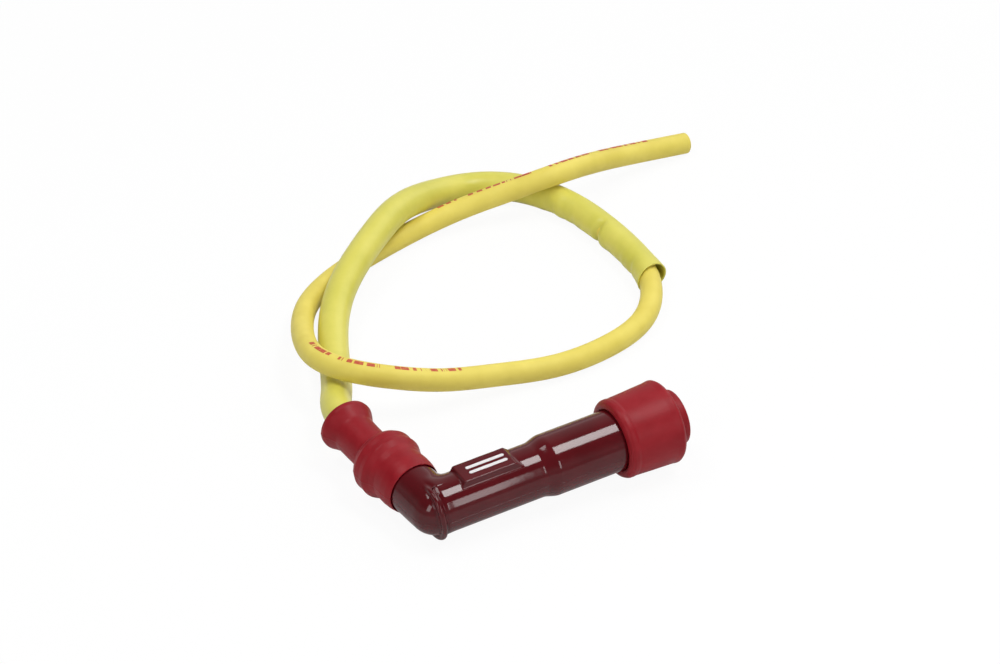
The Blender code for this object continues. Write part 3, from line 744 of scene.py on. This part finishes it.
def make_seam(material):
    """Fine line of flash where the two halves of the mould met, round the outside of the elbow."""
    middles, outs = [], []
    for station in np.linspace(FLASH_BARREL_END, 0.0, 120):
        middles.append((station, 0.0, 0.0))
        outs.append((0.0, -1.0, 0.0))
    for angle in np.linspace(-math.pi / 2, ELBOW_ANGLE - 1.5 * math.pi, 40)[1:-1]:
        middles.append((0.0, 0.0, 0.0))
        outs.append((math.cos(angle), math.sin(angle), 0.0))
    beside_tube = np.array((-TUBE_DIRECTION[1], TUBE_DIRECTION[0], 0.0))
    for station in np.linspace(0.0, FLASH_TUBE_END, 24):
        middles.append(tuple(TUBE_DIRECTION * station))
        outs.append(tuple(beside_tube))
    middles, outs = np.array(middles), np.array(outs)
    low, high = np.full(len(outs), 0.004), np.full(len(outs), 0.011)
    for _ in range(24):
        half = (low + high) / 2
        outside = body_field(middles + outs * half[:, None]) > 0
        low, high = np.where(outside, low, half), np.where(outside, half, high)
    skin = middles + outs * low[:, None]
    sunk, proud = FLASH_SUNK, FLASH_PROUD
    profile = ((-sunk, -1.0), (proud * 0.7, -0.5), (proud, 0.0), (proud * 0.7, 0.5), (-sunk, 1.0))
    points = []
    for i in range(len(skin)):
        for rise, aside in profile:
            place = skin[i] + outs[i] * rise + np.array((0.0, 0.0, FLASH_HALF_WIDTH * aside))
            points.append(CAP @ Vector(place))
    faces = grid_faces(len(skin), 5)
    faces += [(4, 3, 2, 1, 0), tuple(len(points) - 5 + j for j in range(5))]
    flash = mesh_piece("body_seam", points, faces, material)


def make_pad_mark(material):
    """Two plain painted bars along the pad."""
    points, faces = [], []
    half = BAR_HALF_WIDTH
    for middle in BAR_MIDDLES:
        rim = []
        for x, begin in ((BARS_END - half, -90), (BARS_START + half, 90)):
            for degrees in np.linspace(begin, begin + 180, 9):
                angle = math.radians(degrees)
                rim.append((x + half * math.cos(angle), middle + half * math.sin(angle)))
        first = len(points)
        for height in (PAD_HEIGHT + BAR_PROUD, PAD_HEIGHT - BAR_PROUD):
            points += [tuple(CAP @ Vector((x, y, height))) for x, y in rim]
        count = len(rim)
        faces.append(tuple(range(first, first + count)))
        faces.append(tuple(range(first + 2 * count - 1, first + count - 1, -1)))
        for i in range(count):
            k = (i + 1) % count
            faces.append((first + i, first + k, first + count + k, first + count + i))
    mark = mesh_piece("pad_mark", points, faces, material, smooth=False)


# Boots

def seam(radius, around, height):
    """Fine raised line where the two halves of the mould met, on both sides."""
    off = np.abs(np.abs(around - math.pi) - math.pi / 2) * radius
    return height * np.exp(-((off / SEAM_HALF_WIDTH) ** 2))


def make_plug_boot(material):
    corners = [
        (0.0053, 0.0796, 0.0003),
        (0.0083, 0.0796, 0.0006),
        (0.0084, 0.0758, 0.0003),
        (0.0119, 0.0759, 0.0008),
        (0.01266, 0.0749, 0.0009),
        (0.01240, 0.0730, 0.0040),
        (0.01190, 0.0620, 0.0010),
        (0.01180, 0.0610, 0.0006),
        (0.01194, 0.0602, 0.0006),
        (0.01190, 0.0592, 0.0008),
        (0.0114, 0.0583, 0.0010),
        (0.0102, 0.0577, 0.0008),
        (0.0094, 0.0580, 0.0004),
        (0.00925, 0.0592, 0.0003),
        (0.00925, 0.0663, 0.0002),
        (0.0049, 0.0663, 0.0003),
        (0.0049, 0.0791, 0.0004),
    ]

    def relief(radius, station, around):
        skin = np.clip((radius - PLUG_SKIN[0]) / PLUG_SKIN[1], 0, 1)
        dents = PLUG_DENTS * lumps(radius, station, around, PLUG_DENT_SIZE, 4.0)
        return skin * (dents + seam(radius, around, PLUG_SEAM))

    boot = lathe("boot_over_plug", corners, BARREL, material, relief=relief)
    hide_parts("plug_boot")


def make_cable_boot(material):
    corners = [
        (0.0066, 0.0464, 0.0003),
        (0.0074, 0.0466, 0.0004),
        (0.00805, 0.0459, 0.0006),
        (0.0082, 0.0447, 0.0012),
        (0.0073, 0.0429, 0.0030),
        (0.0063, 0.0406, 0.0030),
        (0.0062, 0.0340, 0.0100),
        (0.0063, 0.0300, 0.0016),
        (0.0093, 0.0273, 0.0016),
        (0.0101, 0.0256, 0.0012),
        (0.00996, 0.0237, 0.0016),
        (0.01018, 0.0219, 0.0012),
        (0.0092, 0.0198, 0.0016),
        (0.00868, 0.0180, 0.0012),
        (0.00884, 0.0145, 0.0040),
        (0.0087, 0.0122, 0.0040),
        (0.0083, 0.0103, 0.0005),
        (0.00806, 0.0100, 0.0002),
        (0.00805, 0.0248, 0.0002),
        (0.0050, 0.0248, 0.0002),
        (0.0050, 0.0382, 0.0030),
    ]

    def relief(radius, station, around):
        skin = np.clip((radius - CABLE_SKIN[0]) / CABLE_SKIN[1], 0, 1) * (station < CABLE_RIM)
        dents = CABLE_DENTS * lumps(radius, station, around, CABLE_DENT_SIZE, 9.0)
        return skin * (dents + seam(radius, around, CABLE_SEAM))

    def sway(local):
        """The neck hangs a little to one side, and the collar leans back."""
        station = local[..., 2]
        outer = np.hypot(local[..., 0], local[..., 1]) > NECK_SKIN_R
        aside = np.interp(station, SWAY_STATIONS, SWAY_AMOUNTS) * outer
        reach = local[..., 0] * SWAY_SIDE[0] + local[..., 1] * SWAY_SIDE[1]
        lean = np.clip((station - LEAN_START) / LEAN_LENGTH, 0, 1) * COLLAR_LEAN * reach * outer
        return np.stack([aside * SWAY_SIDE[0], aside * SWAY_SIDE[1], lean], axis=-1)

    boot = lathe("boot_over_cable", corners, TUBE, material, relief=relief, sway=sway)
    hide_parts("cable_boot")


# Floor and light

def pale_look():
    """White to the camera and through glass, paler in reflections, plain to all other light."""
    material = bpy.data.materials.new("pale_backdrop")
    material.use_nodes = True
    nodes, links = material.node_tree.nodes, material.node_tree.links
    nodes.clear()
    diffuse = nodes.new("ShaderNodeBsdfDiffuse")
    diffuse.inputs["Color"].default_value = (PALE, PALE, PALE, 1)
    white = nodes.new("ShaderNodeEmission")
    white.inputs["Strength"].default_value = WHITE_STRENGTH
    path = nodes.new("ShaderNodeLightPath")
    share = None
    for ray, white_part in WHITE_TO.items():
        part = nodes.new("ShaderNodeMath")
        part.operation = "MULTIPLY"
        part.inputs[1].default_value = white_part
        links.new(path.outputs[ray], part.inputs[0])
        if share:
            either = nodes.new("ShaderNodeMath")
            either.operation = "MAXIMUM"
            links.new(share, either.inputs[0])
            links.new(part.outputs["Value"], either.inputs[1])
            share = either.outputs["Value"]
        else:
            share = part.outputs["Value"]
    blend = nodes.new("ShaderNodeMixShader")
    links.new(share, blend.inputs["Fac"])
    links.new(diffuse.outputs["BSDF"], blend.inputs[1])
    links.new(white.outputs["Emission"], blend.inputs[2])
    output = nodes.new("ShaderNodeOutputMaterial")
    links.new(blend.outputs["Shader"], output.inputs["Surface"])
    return material


def make_backdrop():
    """A wide round floor whose far edge turns up into a low white wall."""
    material = pale_look()
    sides = BACKDROP_SIDES
    points, faces = [(0.0, 0.0, FLOOR_DEPTH)], []
    for radius, height in ((BACKDROP_R, FLOOR_DEPTH), (BACKDROP_R, BACKDROP_HEIGHT)):
        for i in range(sides):
            angle = 2 * math.pi * i / sides
            points.append((radius * math.cos(angle), radius * math.sin(angle), height))
    for i in range(sides):
        k = (i + 1) % sides
        faces.append((0, 1 + i, 1 + k))
        faces.append((1 + i, 1 + sides + i, 1 + sides + k, 1 + k))
    mesh = bpy.data.meshes.new("backdrop")
    mesh.from_pydata(points, [], faces)
    mesh.materials.append(material)
    backdrop = bpy.data.objects.new("backdrop", mesh)
    bpy.context.scene.collection.objects.link(backdrop)


def softbox(name, direction, distance, size, strength, roll):
    """A lamp in this direction from the elbow, facing it, its length along the barrel or rolled."""
    data = bpy.data.lights.new(name, "AREA")
    data.shape = "RECTANGLE"
    data.size, data.size_y = size
    data.energy = strength * math.pi * size[0] * size[1]
    lamp = bpy.data.objects.new(name, data)
    toward = Vector(direction).normalized()
    right = (Vector((1, 0, 0)) - toward * toward.x).normalized()
    facing = Matrix((right, toward.cross(right), toward)).transposed().to_4x4()
    place = Matrix.Translation(ELBOW + toward * distance)
    lamp.matrix_world = place @ facing @ Matrix.Rotation(math.radians(roll), 4, "Z")
    bpy.context.scene.collection.objects.link(lamp)


def make_world():
    """Soft surroundings: each glow adds to the strength along its own direction."""
    world = bpy.data.worlds.new("world")
    bpy.context.scene.world = world
    world.use_nodes = True
    nodes, links = world.node_tree.nodes, world.node_tree.links
    direction = nodes.new("ShaderNodeTexCoord").outputs["Generated"]
    strength = None
    for toward, start, end, first, last in WORLD_GLOWS:
        along = nodes.new("ShaderNodeVectorMath")
        along.operation = "DOT_PRODUCT"
        along.inputs[1].default_value = toward
        links.new(direction, along.inputs[0])
        ramp = nodes.new("ShaderNodeMapRange")
        ramp.interpolation_type = "SMOOTHSTEP"
        ramp.inputs["From Min"].default_value = start
        ramp.inputs["From Max"].default_value = end
        ramp.inputs["To Min"].default_value = first
        ramp.inputs["To Max"].default_value = last
        links.new(along.outputs["Value"], ramp.inputs["Value"])
        if strength:
            both = nodes.new("ShaderNodeMath")
            links.new(strength, both.inputs[0])
            links.new(ramp.outputs["Result"], both.inputs[1])
            strength = both.outputs["Value"]
        else:
            strength = ramp.outputs["Result"]
    links.new(strength, nodes["Background"].inputs["Strength"])
    nodes["Background"].inputs["Color"].default_value = (1.0, 1.0, 1.0, 1.0)


def make_light():
    make_world()
    for name, (direction, distance, size, strength, roll) in LAMPS.items():
        softbox(name, direction, distance, size, strength, roll)


bpy.context.scene.view_settings.view_transform = "Standard"
make_camera()
PHENOLIC = phenolic_look()
RUBBER = rubber_look()
LEAD = lead_look()
SLEEVE = sleeve_look()
INK = ink_look()
PAINT = paint_look()
BRASS = metal_look("turned_brass", (0.62, 0.42, 0.16), (0.42, 0.26, 0.09))
STEEL = metal_look("drawn_steel", (0.52, 0.51, 0.49), (0.36, 0.35, 0.34))
CERAMIC = ceramic_look()

CURVE = route_curve()
lead, lead_path = make_lead(CURVE, LEAD)
sleeve = make_sleeve(CURVE, SLEEVE)
marks = make_print(CURVE, INK)
make_body(PHENOLIC)
make_seam(PHENOLIC)
make_pad_mark(PAINT)
make_plug_boot(RUBBER)
make_cable_boot(RUBBER)
BRASS_NODES = ("plug_terminal", "contact_block")
STEEL_NODES = (
    "terminal_clip", "contact_spring", "cable_screw", "resistor_cap_front", "resistor_cap_rear",
)
for brass_node in BRASS_NODES:
    wear(brass_node, BRASS)
for steel_node in STEEL_NODES:
    wear(steel_node, STEEL)
wear("resistor_rod", CERAMIC)
make_backdrop()
make_light()
